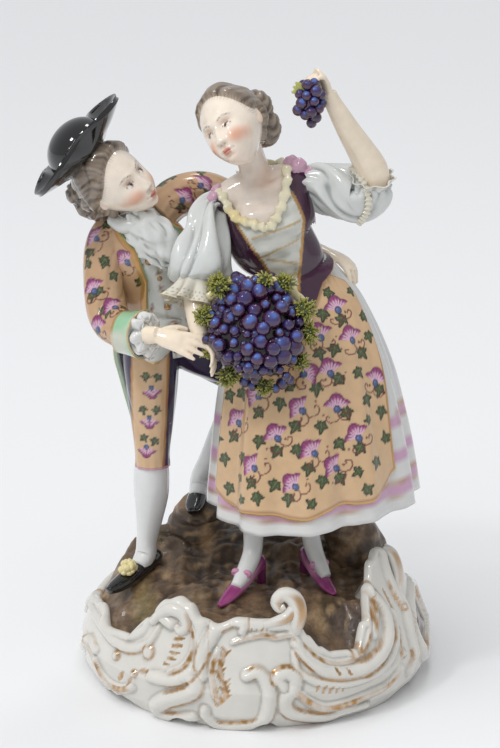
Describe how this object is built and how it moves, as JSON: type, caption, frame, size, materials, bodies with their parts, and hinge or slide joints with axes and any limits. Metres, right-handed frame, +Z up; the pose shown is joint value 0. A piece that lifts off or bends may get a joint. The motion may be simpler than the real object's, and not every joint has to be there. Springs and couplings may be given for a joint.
{
  "type": "courting couple figurine",
  "caption": "Porcelain group of a courting couple with grapes, in rococo dress, standing on a rocky mound with a gilt scrolled base.",
  "frame": {"origin": "centre of the base's flat underside, on the table", "axes": "+Z up, +X to the right of the group seen from the front, -Y towards the viewer in front of it"},
  "size_m": [0.1358, 0.1132, 0.2121],
  "materials": {
    "porcelain": "glazed porcelain, painted and gilt"
  },
  "bodies": {
    "root": {"courting_couple_figurine": "porcelain"}
  },
  "joints": []
}
